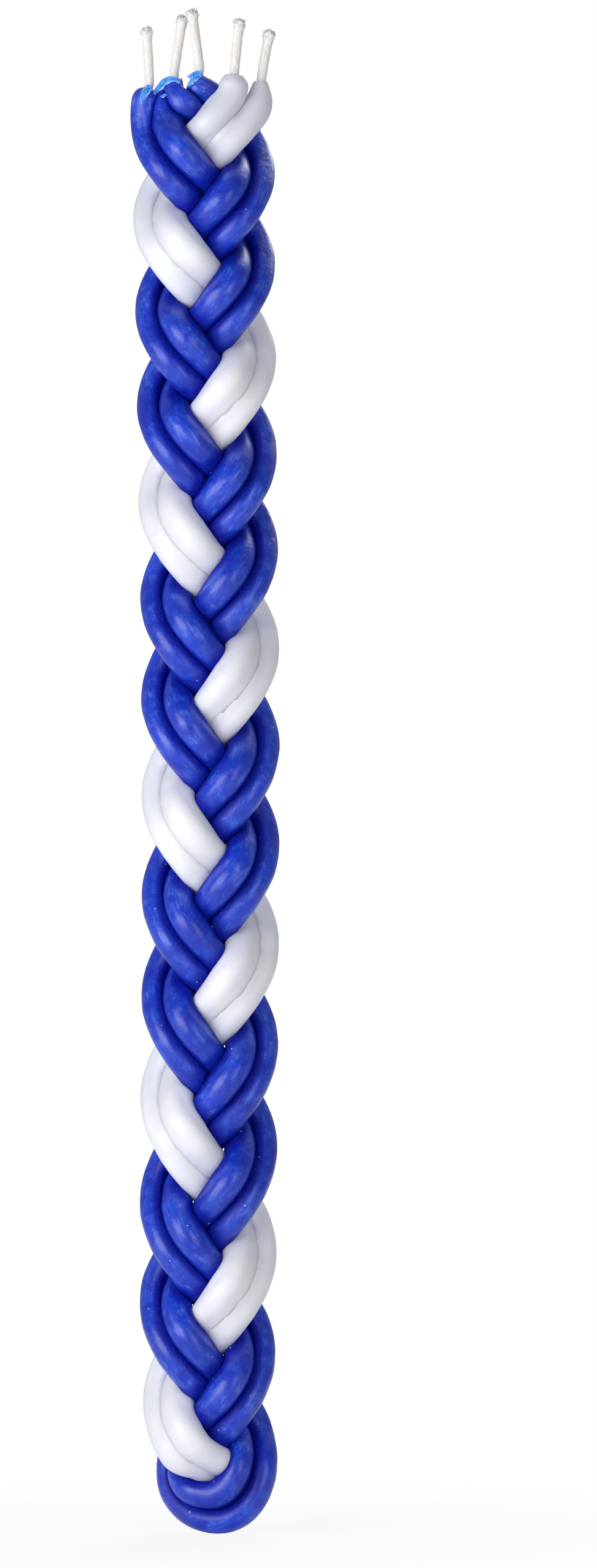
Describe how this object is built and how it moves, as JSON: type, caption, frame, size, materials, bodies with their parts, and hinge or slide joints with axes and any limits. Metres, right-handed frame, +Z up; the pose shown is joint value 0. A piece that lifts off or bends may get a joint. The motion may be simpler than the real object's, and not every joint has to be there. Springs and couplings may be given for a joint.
{
  "type": "havdalah candle",
  "caption": "Long braided ritual candle of blue and white wax tapers plaited in pairs, folded at the foot, with bare cotton wick ends standing out of the top.",
  "frame": {"origin": "middle of the plait at the lowest point of the folded foot", "axes": "+Z up the candle towards the wick ends, front of the plait faces -Y, +X to the right"},
  "size_m": [0.028, 0.0211, 0.3119],
  "materials": {
    "blue_wax": "dyed candle wax, soft gloss",
    "white_wax": "white candle wax, soft gloss",
    "wick_cotton": "plaited cotton, lightly waxed"
  },
  "bodies": {
    "candle": {"blue_outer_taper": "blue_wax", "blue_inner_taper": "blue_wax", "white_left_taper": "white_wax", "white_right_taper": "white_wax", "blue_outer_wick": "wick_cotton", "blue_inner_wick": "wick_cotton", "white_left_wick": "wick_cotton", "white_right_wick": "wick_cotton"},
    "wick_1": {"wick_end_1": "wick_cotton"},
    "wick_2": {"wick_end_2": "wick_cotton"},
    "wick_3": {"wick_end_3": "wick_cotton"},
    "wick_4": {"wick_end_4": "wick_cotton"},
    "wick_5": {"wick_end_5": "wick_cotton"}
  },
  "joints": [
    {"name": "bend_1", "type": "hinge", "parent": "candle", "child": "wick_1", "pos_m": [-0.01196, 0.00181, 0.29772], "axis": [1, 0, 0], "range_deg": [-60, 60]},
    {"name": "bend_2", "type": "hinge", "parent": "candle", "child": "wick_2", "pos_m": [-0.00699, 0.0025, 0.29948], "axis": [1, 0, 0], "range_deg": [-60, 60]},
    {"name": "bend_3", "type": "hinge", "parent": "candle", "child": "wick_3", "pos_m": [-0.00164, 0.00127, 0.30084], "axis": [1, 0, 0], "range_deg": [-60, 60]},
    {"name": "bend_4", "type": "hinge", "parent": "candle", "child": "wick_4", "pos_m": [0.00557, -0.00458, 0.29994], "axis": [1, 0, 0], "range_deg": [-60, 60]},
    {"name": "bend_5", "type": "hinge", "parent": "candle", "child": "wick_5", "pos_m": [0.01112, -0.00163, 0.29873], "axis": [1, 0, 0], "range_deg": [-60, 60]}
  ]
}
